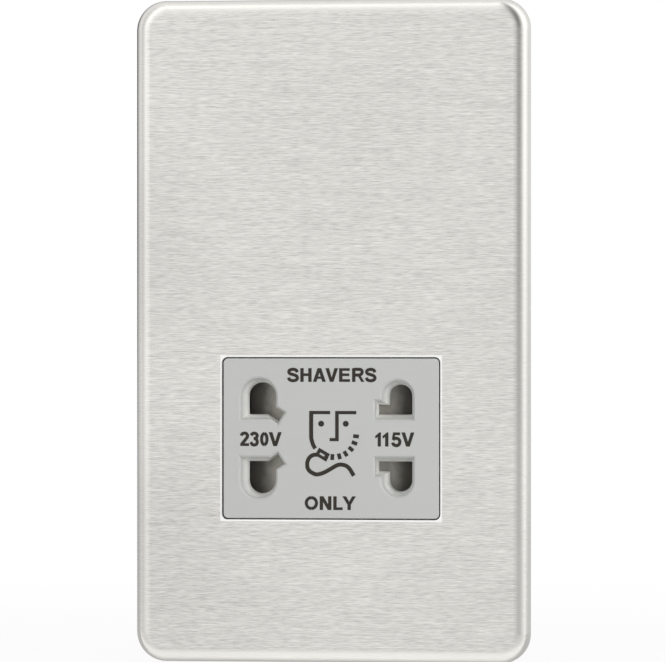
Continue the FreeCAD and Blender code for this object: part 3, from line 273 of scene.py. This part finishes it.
def moulded(name, colour, grain=0.02, roughness=0.45, painted_light_colour=None):
    """Matt moulded plastic with a fine mould grain and slightly uneven colour.

    A painted-light colour is what the walls behind the insert's face turn to: painted
    light that makes them paler further in. It was fitted to the photograph's light.
    """
    made, n = material(name)
    fine = n.noise(1500.0, detail=3.0, roughness=0.6)
    broad = n.noise(90.0)
    blend = n.math("ADD", n.span(fine, -0.3, 0.3), n.span(broad, 0.3, 0.7))
    shade = n.mix(blend, scaled(colour, 1 - grain), scaled(colour, 1 + grain))
    if painted_light_colour:
        # Painted light: the walls are painted paler the further they lie behind the
        # insert's face
        inside = n.span(n.axis(n.place(), 1), 0.0, 1.0,
                        face_y + DEEP_START, face_y + DEEP_END)
        shade = n.mix(inside, shade, painted_light_colour)
    n.surface(
        base_color=shade, specular_ior_level=0.4,
        roughness=n.span(fine, roughness - 0.05, roughness + 0.05),
        normal=n.bump(fine, 0.01 * MM, 0.5))
    return made


def metal(name, colour, roughness=0.3, where=(1, 1, 1)):
    """Plain worked metal with fine marks and patches of duller surface."""
    made, n = material(name)
    fine = n.noise(900.0, detail=3.0, roughness=0.6, where=where)
    broad = n.noise(160.0)
    blend = n.math("ADD", n.span(fine, -0.25, 0.25), n.span(broad, 0.25, 0.75))
    n.surface(
        base_color=n.mix(blend, scaled(colour, 0.92), colour), metallic=1.0,
        roughness=n.span(blend, roughness + 0.08, roughness - 0.05, 0.0, 1.0),
        normal=n.bump(fine, 0.006 * MM, 0.6))
    return made


def stacked_steel():
    """Transformer core: edges of thin sheets stacked along Y, slightly stained."""
    made, n = material("stacked_steel")
    sheets = n.bands("Y", 320.0, distortion=0.4, detail=2.0)
    patches = n.noise(250.0, detail=4.0)
    colour = n.mix(n.span(patches, 0.0, 1.0), srgb(96, 97, 100), srgb(140, 138, 136))
    n.surface(base_color=colour, metallic=1.0, roughness=n.span(patches, 0.42, 0.6),
              normal=n.bump(sheets, 0.05 * MM, 0.7))
    return made


def wound_copper():
    """Enamelled wire laid in rows round the bobbin."""
    made, n = material("wound_copper")
    rows = n.bands("Z", 750.0, distortion=0.6, detail=1.0)
    colour = n.mix(rows, srgb(112, 52, 24), srgb(196, 112, 66))
    n.surface(base_color=colour, metallic=0.85, roughness=0.3,
              normal=n.bump(rows, 0.06 * MM))
    return made


def film_tape():
    """Yellow tape wrapped round a winding."""
    made, n = material("film_tape")
    fine = n.noise(600.0, detail=3.0, where=(1, 1, 3))
    colour = n.mix(n.span(fine, 0.0, 1.0), srgb(214, 176, 62), srgb(230, 196, 84))
    n.surface(base_color=colour, roughness=n.span(fine, 0.18, 0.34),
              specular_ior_level=0.5, normal=n.bump(fine, 0.02 * MM, 0.5))
    return made


# Where the shutter's painted shade begins and is full, as shares of its half length
RAMP_SHADE_START, RAMP_SHADE_FULL = 0.68, 0.98
# On the right side the painted shade begins nearer the middle, and there is a further
# patch of painted shade
FURTHER_RIGHT = 1.6 * MM
NOTCH_SHADE_END, NOTCH_SHADE_FULL, NOTCH_SHADE_AMOUNT = 12.9 * MM, 11.4 * MM, 0.6
SHADE_WAVER = 0.6 * MM


def shutter_plastic():
    """Warm grey plastic, painted darker towards the thin ends of its ramps: painted
    shade.

    The painted shade and the further dark patch on the right were fitted to the
    photograph's light.
    """
    made, n = material("shutter_plastic")
    _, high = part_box("shutter_slider")
    along = n.axis(n.place(), 0)
    on_right = n.math("GREATER_THAN", along, 0.0)
    reach = n.math("ADD", n.math("ABSOLUTE", along),
                   n.math("MULTIPLY", on_right, FURTHER_RIGHT))
    waver_noise = n.noise(420.0, detail=3.0)
    edge = n.math("ADD", reach, n.span(waver_noise, -SHADE_WAVER, SHADE_WAVER))
    # Painted shade: darker towards the thin ends of the ramps
    ramp_end_shade = n.span(edge, 0.0, 1.0, high.x * RAMP_SHADE_START, high.x * RAMP_SHADE_FULL,
                     smooth=True)
    # Painted shade: a further darker patch on the right side
    notch_shade = n.span(n.math("SUBTRACT", edge, FURTHER_RIGHT), 0.0, NOTCH_SHADE_AMOUNT,
                  NOTCH_SHADE_END, NOTCH_SHADE_FULL, smooth=True)
    colour = n.mix(ramp_end_shade, srgb(214, 211, 202), srgb(112, 109, 102))
    colour = n.mix(n.math("MULTIPLY", notch_shade, on_right), colour, srgb(120, 117, 110))
    n.surface(base_color=colour, roughness=n.span(waver_noise, 0.34, 0.46),
              specular_ior_level=0.4, normal=n.bump(waver_noise, 0.01 * MM, 0.5))
    return made


def ink():
    """Pad-printed ink, a warm near-black that is slightly uneven."""
    made, n = material("legend_ink")
    fine = n.noise(2500.0)
    colour = n.mix(n.span(fine, 0.0, 1.0), srgb(43, 39, 34), srgb(53, 48, 42))
    n.surface(base_color=colour, roughness=n.span(fine, 0.45, 0.6),
              specular_ior_level=0.25)
    return made


MOULDED = {
    # The insert's walls are painted paler further in: painted light
    "insert_plastic": {"colour": srgb(189, 190, 188), "roughness": 0.5,
                       "painted_light_colour": srgb(250, 250, 247)},
    "frame_plastic": {"colour": srgb(186, 186, 183), "grain": 0.03},
    "carrier_plastic": {"colour": srgb(70, 69, 68), "grain": 0.04},
    "housing_plastic": {"colour": srgb(206, 206, 202), "grain": 0.03,
                        "roughness": 0.42},
    "block_plastic": {"colour": srgb(226, 225, 218)},
    "bobbin_plastic": {"colour": srgb(224, 222, 212), "grain": 0.03},
    "cutout_case": {"colour": srgb(40, 40, 42), "grain": 0.06, "roughness": 0.35},
    "white_sheath": {"colour": srgb(224, 222, 216), "grain": 0.03, "roughness": 0.35},
}
for sheath, sheath_colour in (
        ("brown_sheath", srgb(92, 58, 38)), ("blue_sheath", srgb(36, 84, 150)),
        ("earth_sheath", srgb(96, 146, 52)), ("red_sheath", srgb(172, 40, 36)),
        ("black_sheath", srgb(34, 34, 36))):
    MOULDED[sheath] = {"colour": sheath_colour, "grain": 0.05, "roughness": 0.35}
METALS = {
    "spring_steel": {"colour": srgb(186, 186, 188), "roughness": 0.22},
    "contact_brass": {"colour": srgb(222, 190, 120), "roughness": 0.26},
    "terminal_brass": {"colour": srgb(214, 182, 108)},
    "strap_steel": {"colour": srgb(190, 191, 194), "where": (1, 1, 4)},
    "screw_steel": {"colour": srgb(202, 201, 196), "roughness": 0.25},
}
SLOT_MATERIALS = {
    "plate_metal": brushed_steel(),
    "shutter_plastic": shutter_plastic(),
    "core_steel": stacked_steel(),
    "copper_wire": wound_copper(),
    "tape_film": film_tape(),
    **{name: moulded(name, **look) for name, look in MOULDED.items()},
    **{name: metal(name, **look) for name, look in METALS.items()},
}


def dress_nodes():
    """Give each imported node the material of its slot."""
    for node in nodes.values():
        for number, old in enumerate(node.data.materials):
            node.data.materials[number] = SLOT_MATERIALS[old.name.split(".")[0]]


def springs():
    """Put a copy of each spring's mesh in its place, and hide the imported spring."""
    for name, side in (("left_shutter_spring", -1), ("right_shutter_spring", 1)):
        piece = new_object(name + "_coil", nodes[name].data.copy())
        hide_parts(name)
        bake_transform(piece)


# Print on the insert: places are in millimetres from the socket's centre

INK = ink()
INK_THICKNESS = 0.02 * MM
# Strokes that cross differ this much in thickness, so their faces never coincide
THICKNESS_STEP = 0.02


def at_face(x, z):
    return Vector((x * MM, face_y, insert_z + z * MM))


def layered(name, outlines):
    """A mesh of flat closed outlines, each raised to the thickness of the ink."""
    made = bmesh.new()
    for number, outline in enumerate(outlines):
        rise = Vector((0, -INK_THICKNESS * (1 + number * THICKNESS_STEP), 0))
        low = [made.verts.new(at_face(x, z)) for x, z in outline]
        high = [made.verts.new(at_face(x, z) + rise) for x, z in outline]
        made.faces.new(low)
        made.faces.new(high[::-1])
        for i in range(len(outline)):
            j = (i + 1) % len(outline)
            made.faces.new((low[j], low[i], high[i], high[j]))
    bmesh.ops.recalc_face_normals(made, faces=made.faces)
    mesh = bpy.data.meshes.new(name)
    made.to_mesh(mesh)
    made.free()
    return mesh


def print_piece(name, outlines):
    """Lay flat outlines in X and Z on the insert's face as a thin layer of ink."""
    mesh = layered(name, outlines)
    mesh.materials.append(INK)
    piece = new_object(name, mesh)
    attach(piece, "base")


def bar(x0, x1, z0, z1):
    return [(x0, z0), (x1, z0), (x1, z1), (x0, z1)]


def turned_bar(x, z, length, width, angle):
    """A bar about its centre, with its length at an angle in degrees."""
    c, s = math.cos(math.radians(angle)), math.sin(math.radians(angle))
    corners = ((-1, -1), (1, -1), (1, 1), (-1, 1))
    return [(x + a * length / 2 * c - b * width / 2 * s,
             z + a * length / 2 * s + b * width / 2 * c) for a, b in corners]


def disc(x, z, radius, sides=28):
    turn = 2 * math.pi / sides
    return [(x + radius * math.cos(i * turn), z + radius * math.sin(i * turn))
            for i in range(sides)]


def curve_points(points, steps=10):
    """Points on a smooth curve through the given ones."""
    padded = [points[0], *points, points[-1]]
    found = []
    for a, b, c, d in zip(padded, padded[1:], padded[2:], padded[3:]):
        for i in range(steps):
            t = i / steps
            found.append(tuple(
                0.5 * (2 * b[k] + (c[k] - a[k]) * t
                       + (2 * a[k] - 5 * b[k] + 4 * c[k] - d[k]) * t * t
                       + (3 * b[k] - a[k] - 3 * c[k] + d[k]) * t ** 3)
                for k in range(2)))
    return [*found, points[-1]]


def ribbon(points, width):
    """The outline of a line of constant width along some points."""
    left, right = [], []
    for i, (x, z) in enumerate(points):
        before, after = points[max(i - 1, 0)], points[min(i + 1, len(points) - 1)]
        run = math.hypot(after[0] - before[0], after[1] - before[1])
        across = (-(after[1] - before[1]) / run, (after[0] - before[0]) / run)
        left.append((x + across[0] * width / 2, z + across[1] * width / 2))
        right.append((x - across[0] * width / 2, z - across[1] * width / 2))
    return left + right[::-1]


# The width of the sign's drawn lines
LINE = 0.93


def pictogram():
    """The usual sign of a shaver outlet: a face, with dashes round its chin."""
    brow_top, brow_low = 6.18, 5.43
    left_edge, nose_left, nose_right = -4.93, 0.96, 1.78
    nose_low, nose_foot = -0.62, 0.1
    eye_height, eye_radius = 3.3, 0.67
    shapes = [
        bar(left_edge, -0.16, brow_low, brow_top),
        bar(nose_left, 5.77, brow_low, brow_top),
        bar(nose_left, nose_right, nose_low, brow_low),
        bar(-0.29, nose_left, nose_low, nose_foot),
        disc(-2.2, eye_height, eye_radius),
        disc(3.37, eye_height, eye_radius),
    ]
    middle = left_edge + LINE / 2
    cheek = [(middle, brow_low), (middle, 3.0), (middle, 0.6), (-4.43, -0.05),
             (-4.23, -0.81), (-3.96, -1.57), (-3.53, -2.27)]
    shapes.append(ribbon(curve_points(cheek), LINE))
    chin_x, chin_z, chin_radius = 0.64, 0.9, 5.07
    dash_length, dash_width = 1.32, 0.86
    # Each dash lies on the chin's circle, in the direction of one of these points
    for x, z in ((5.69, 0.5), (5.34, -1.01), (4.55, -2.36), (3.35, -3.45),
                 (1.93, -4.08), (0.32, -4.23)):
        angle = math.atan2(z - chin_z, x - chin_x)
        shapes.append(turned_bar(
            chin_x + math.cos(angle) * chin_radius,
            chin_z + math.sin(angle) * chin_radius,
            dash_length, dash_width, math.degrees(angle)))
    return shapes


def shaver_sign():
    """The shaver as a frame round a pale slit, and its cord."""
    outer = [(-2.68, -2.08), (-0.2, -3.5), (-1.05, -5.22), (-3.65, -3.72)]
    slit_middle, slit_length, slit_width, slit_angle = (-1.98, -3.62), 1.2, 0.42, -31
    inner = turned_bar(*slit_middle, slit_length, slit_width, slit_angle)[::-1]
    shapes = []
    for i in range(4):
        j = (i + 1) % 4
        shapes.append([outer[i], outer[j], inner[j], inner[i]])
    cord = [(-3.0, -3.65), (-4.02, -3.73), (-4.78, -4.22), (-5.21, -4.93),
            (-5.37, -5.79), (-5.21, -6.77), (-4.56, -7.52), (-3.58, -8.01),
            (-2.93, -8.06), (-2.06, -7.84), (-1.19, -7.47), (-0.21, -6.92),
            (0.77, -6.34), (1.64, -5.93), (2.4, -5.86), (3.06, -5.98),
            (3.71, -6.28), (4.25, -6.82), (4.69, -7.52), (5.18, -8.37)]
    shapes.append(ribbon(curve_points(cord, 6), LINE))
    return shapes


# Letters are drawn from plain strokes, in a box that is one unit high

STROKE = 0.25
HALF = STROKE / 2
CURVED_STROKE, RING_STROKE = STROKE * 0.94, STROKE * 0.92
# Level strokes are thinner than upright ones
THIN = 0.2
MIDDLE_BAR = 0.52 - THIN / 2


def upright(x):
    return bar(x, x + STROKE, 0, 1)


def level(x0, x1, z):
    return bar(x0, x1, z, z + THIN)


def stroke(*points):
    return ribbon(curve_points(points), CURVED_STROKE)


def wedge(width, top, low, notch):
    """A V with flat ends, whose inner sides meet at the height of the notch."""
    arm, foot = STROKE * 1.08, STROKE * 0.54
    middle = width / 2
    return [(0, top), (arm, top), (middle, notch), (width - arm, top), (width, top),
            (middle + foot, low), (middle - foot, low)]


def half_ring(width, side):
    """The left or right half of an upright oval."""
    middle, reach = width / 2, width / 2 - HALF
    rise = 0.51 - RING_STROKE / 2
    steps = 16
    angles = [math.pi * (i / steps - 0.5) for i in range(steps + 1)]
    return ribbon([(middle + side * reach * math.cos(a), 0.5 + rise * math.sin(a))
                   for a in angles], RING_STROKE)


# Width and strokes of each letter
LETTERS = {
    "S": (0.84, [
        stroke((0.72, 0.69), (0.66, 0.84), (0.44, 0.915), (0.20, 0.86), (0.12, 0.73),
               (0.20, 0.60), (0.43, 0.525), (0.65, 0.44), (0.735, 0.29), (0.66, 0.15),
               (0.43, 0.085), (0.18, 0.15), (0.10, 0.31))]),
    "H": (0.83, [
        upright(0), upright(0.83 - STROKE), level(HALF, 0.73, MIDDLE_BAR)]),
    "A": (0.955, [wedge(0.955, 0, 1, 0.67), bar(0.24, 0.72, 0.22, 0.39)]),
    "V": (0.94, [wedge(0.94, 1, 0, 0.34)]),
    "E": (0.80, [
        upright(0), level(HALF, 0.80, 0), level(HALF, 0.75, MIDDLE_BAR),
        level(HALF, 0.78, 1 - THIN)]),
    "R": (0.905, [
        upright(0),
        stroke((HALF, 0.915), (0.45, 0.915), (0.63, 0.895), (0.72, 0.80),
               (0.73, 0.70), (0.69, 0.59), (0.58, 0.52), (0.45, 0.50), (HALF, 0.50)),
        [(0.40, 0.46), (0.62, 0.47), (0.905, 0), (0.67, 0)]]),
    "O": (1.0, [half_ring(1.0, -1), half_ring(1.0, 1)]),
    "N": (0.86, [
        upright(0), upright(0.86 - STROKE),
        [(0, 1), (STROKE * 1.1, 1), (0.86, 0), (0.86 - STROKE * 1.1, 0)]]),
    "L": (0.69, [upright(0), level(HALF, 0.69, 0)]),
    "Y": (0.985, [
        wedge(0.985, 1, 0.4, 0.62), bar(0.4925 - HALF, 0.4925 + HALF, 0, 0.52)]),
    "0": (0.65, [half_ring(0.65, -1), half_ring(0.65, 1)]),
    "1": (0.42, [
        [(0, 0.745), (0, 0.61), (0.05, 0.575), (0.12, 0.62), (0.18, 0.68), (0.18, 0),
         (0.42, 0), (0.42, 1), (0.31, 1), (0.27, 0.97), (0.13, 0.85)]]),
    "2": (0.645, [
        stroke((0.09, 0.73), (0.14, 0.85), (0.24, 0.91), (0.33, 0.92), (0.44, 0.89),
               (0.53, 0.79), (0.53, 0.68), (0.46, 0.56), (0.30, 0.36), (0.15, 0.17),
               (0.12, 0.08)),
        level(0.01, 0.645, 0)]),
    "3": (0.64, [
        stroke((0.11, 0.75), (0.18, 0.87), (0.32, 0.92), (0.46, 0.88), (0.54, 0.77),
               (0.52, 0.65), (0.43, 0.55), (0.28, 0.525)),
        stroke((0.38, 0.53), (0.50, 0.46), (0.55, 0.31), (0.51, 0.16), (0.42, 0.095),
               (0.30, 0.08), (0.18, 0.12), (0.07, 0.28))]),
    "5": (0.71, [
        bar(0.14, 0.63, 1 - THIN, 1),
        [(0.12, 1), (0.30, 1), (0.225, 0.50), (0.03, 0.47)],
        stroke((0.12, 0.47), (0.22, 0.56), (0.35, 0.585), (0.50, 0.54), (0.60, 0.42),
               (0.61, 0.32), (0.57, 0.18), (0.46, 0.09), (0.345, 0.07), (0.21, 0.11),
               (0.13, 0.19), (0.10, 0.29))]),
}

# Each word: its lowest and highest point, and its letters from left to right, each
# with its left and right end
WORDS = {
    "legend_upper": (12.69, 15.77, (
        ("S", -9.91, -7.27), ("H", -6.94, -4.36), ("A", -4.09, -1.13),
        ("V", -1.27, 1.62), ("E", 1.85, 4.33), ("R", 4.79, 7.60), ("S", 7.72, 10.29))),
    "legend_lower": (-16.05, -12.96, (
        ("O", -5.96, -2.87), ("N", -2.54, 0.13), ("L", 0.54, 2.67),
        ("Y", 2.61, 5.66))),
    "legend_left": (-1.75, 1.39, (
        ("2", -20.6, -18.57), ("3", -18.41, -16.43), ("0", -16.11, -14.1),
        ("V", -14.12, -11.15))),
    "legend_right": (-1.78, 1.4, (
        ("1", 10.01, 11.32), ("1", 11.68, 13.02), ("5", 13.67, 15.89),
        ("V", 15.94, 18.88))),
}


def word_shapes(low, high, letters):
    shapes = []
    for letter, left, right in letters:
        width, outlines = LETTERS[letter]
        scale = (right - left) / width
        for outline in outlines:
            shapes.append([(left + x * scale, low + z * (high - low))
                           for x, z in outline])
    return shapes


def legends():
    print_piece("pictogram_face", pictogram())
    print_piece("pictogram_shaver", shaver_sign())
    for name, word in WORDS.items():
        print_piece(name, word_shapes(*word))


# Floor

FLOOR_HALF, FLOOR_DROP = 6.0, 0.4 * MM
# How white the floor is where it is seen, near the part and far from it. The rest
# keeps the part's shadow.
NEAR, NEAR_WHITE = 0.1, 0.9
FAR, FAR_WHITE = 0.5, 1.0
# The floor's strength to glossy rays, in front of the plate and under it: a painted
# bright strip just before the plate and a painted shadow under it. It was fitted to the
# tone of the brushed metal, and passes 1 just before the plate.
BEFORE_PLATE, BEFORE_STRENGTH = -8 * MM, 0.93
AT_PLATE, AT_STRENGTH = -1 * MM, 1.3
SHADE_START, SHADE_END, SHADE_SHARE = 0.9 * MM, 2.8 * MM, 0.5


def floor():
    """A plain pale floor just under the part, which keeps the part's shadow.

    To the camera it is nearly white near the part and quite white further off, like
    the surroundings that it meets. To glossy rays its strength also changes with
    depth, as the numbers above say.
    """
    made, n = material("pale_floor")
    light = n.add("ShaderNodeLightPath").outputs
    seen = n.math("MAXIMUM", light["Is Camera Ray"],
                  n.math("MAXIMUM", light["Is Glossy Ray"],
                         light["Is Transmission Ray"]))
    depth = n.axis(n.place(), 1)
    edge = plate_low.y
    gleam = n.span(depth, BEFORE_STRENGTH, AT_STRENGTH,
                   edge + BEFORE_PLATE, edge + AT_PLATE, smooth=True)
    # Painted shadow under the plate, seen only in reflections
    shade = n.span(depth, 1.0, SHADE_SHARE, edge + SHADE_START, edge + SHADE_END)
    strength = n.mix_value(light["Is Glossy Ray"], 1.0,
                           n.math("MULTIPLY", gleam, shade))
    white = n.span(n.vector("LENGTH", n.place((1, 1, 0))), NEAR_WHITE, FAR_WHITE,
                   NEAR, FAR, smooth=True)
    mottle = n.noise(6.0)
    pale = n.mix(n.span(mottle, 0.0, 1.0), srgb(240, 240, 239), srgb(246, 246, 245))
    cloth = n.add("ShaderNodeBsdfDiffuse", {"Color": pale})
    glow = n.add("ShaderNodeEmission", {"Color": (1, 1, 1, 1), "Strength": strength})
    n.show(n.add("ShaderNodeMixShader", {
        0: n.math("MULTIPLY", seen, white), 1: cloth.outputs[0], 2: glow.outputs[0]}))
    mesh = bpy.data.meshes.new("floor")
    corners = ((-1, -1), (1, -1), (1, 1), (-1, 1))
    mesh.from_pydata([(x * FLOOR_HALF, y * FLOOR_HALF, plate_low.z - FLOOR_DROP)
                      for x, y in corners], [], [(0, 1, 2, 3)])
    mesh.materials.append(made)
    piece = new_object("floor", mesh)


# Surroundings: white to the camera, plain to the object's matt surfaces, and with
# brighter and darker panels in reflections, some of which pass 1. The panels were
# fitted to the photograph's light. Angles are in degrees.

PLAIN_LIGHT = 0.6
TENT = 1.0
# Upright panels: azimuth, half width, and what they add
SIDE_PANELS = {
    "left_front": (-35, 30, 0.5),
    "left_side": (-70, 18, -0.2),
    "right_gap": (35, 42, -0.75),
    "right_side": (88, 42, 0.68),
}
# Round panels: azimuth, elevation, half width, and what they add
ROUND_PANELS = {
    "roof": (0, 70, 44, 0.23),
    "left_back": (-144, 0, 48, -0.9),
    "behind": (-172, 15, 45, -0.4),
}


def toward(azimuth, elevation):
    """A direction from the part: azimuth is 0 before its face and grows to the right."""
    a, e = math.radians(azimuth), math.radians(elevation)
    return Vector((math.sin(a) * math.cos(e), -math.cos(a) * math.cos(e), math.sin(e)))


def panel(n, direction, towards, half_width, gain):
    """A brighter or darker patch that fades out at its half width."""
    facing = n.vector("DOT_PRODUCT", direction, towards)
    return n.span(n.math("ARCCOSINE", facing), 0.0, gain, math.radians(half_width), 0.0,
                  smooth=True)


def sky():
    world = bpy.data.worlds.new("light_tent")
    bpy.context.scene.world = world
    world.use_nodes = True
    n = Nodes(world.node_tree)
    where = n.add("ShaderNodeTexCoord").outputs["Generated"]
    flat = n.vector("NORMALIZE", n.vector("MULTIPLY", where, (1, 1, 0)))
    reflected = TENT
    for azimuth, half_width, gain in SIDE_PANELS.values():
        side = panel(n, flat, toward(azimuth, 0), half_width, gain)
        reflected = n.math("ADD", side, reflected)
    for azimuth, elevation, half_width, gain in ROUND_PANELS.values():
        patch = panel(n, where, toward(azimuth, elevation), half_width, gain)
        reflected = n.math("ADD", patch, reflected)
    light = n.add("ShaderNodeLightPath").outputs
    glossy = n.math("MAXIMUM", light["Is Glossy Ray"], light["Is Transmission Ray"])
    lit = n.mix_value(glossy, PLAIN_LIGHT, reflected)
    strength = n.mix_value(light["Is Camera Ray"], lit, 1.0)
    n.show(n.add("ShaderNodeBackground", {
        "Color": (1, 1, 1, 1), "Strength": strength}), "ShaderNodeOutputWorld")


# Lamps: azimuth and elevation in degrees, distance and size in metres, and watts
LAMPS = {
    "key_light": (48, 8, 1.4, 0.6, 9.0),
    "fill_light": (-10, 55, 1.4, 1.0, 3.0),
    "back_light": (160, 35, 1.6, 1.0, 5.0),
}


def softbox(name, azimuth, elevation, distance, size, power):
    """A square lamp that shines at the part and isn't seen itself."""
    lamp = bpy.data.lights.new(name, "AREA")
    lamp.shape = "SQUARE"
    lamp.size = size
    lamp.energy = power
    holder = new_object(name, lamp)
    direction = toward(azimuth, elevation)
    holder.location = direction * distance
    holder.rotation_mode = "QUATERNION"
    holder.rotation_quaternion = direction.to_track_quat("Z", "Y")
    holder.visible_camera = False
    holder.visible_glossy = False


def camera():
    """The plate's height fills the frame's, as it does in the photograph."""
    lens = bpy.data.cameras.new("camera")
    lens.lens = CAMERA_LENS
    lens.sensor_width = SENSOR
    lens.clip_start, lens.clip_end = CLIP_NEAR, CLIP_FAR
    holder = new_object("camera", lens)
    width = (plate_high.z - plate_low.z) * FRAME_WIDTH / FRAME_HEIGHT
    distance = width / 2 * CAMERA_LENS / (SENSOR / 2)
    back = Vector((math.sin(CAMERA_YAW), -math.cos(CAMERA_YAW), 0))
    aim = Vector((AIM_SHIFT, 0, (plate_low.z + plate_high.z) / 2))
    holder.location = aim + back * distance
    holder.rotation_mode = "QUATERNION"
    holder.rotation_quaternion = back.to_track_quat("Z", "Y")
    bpy.context.scene.camera = holder


dress_nodes()
springs()
legends()
floor()
sky()
for lamp_name, settings in LAMPS.items():
    softbox(lamp_name, *settings)
camera()
bpy.context.scene.view_settings.view_transform = "Standard"
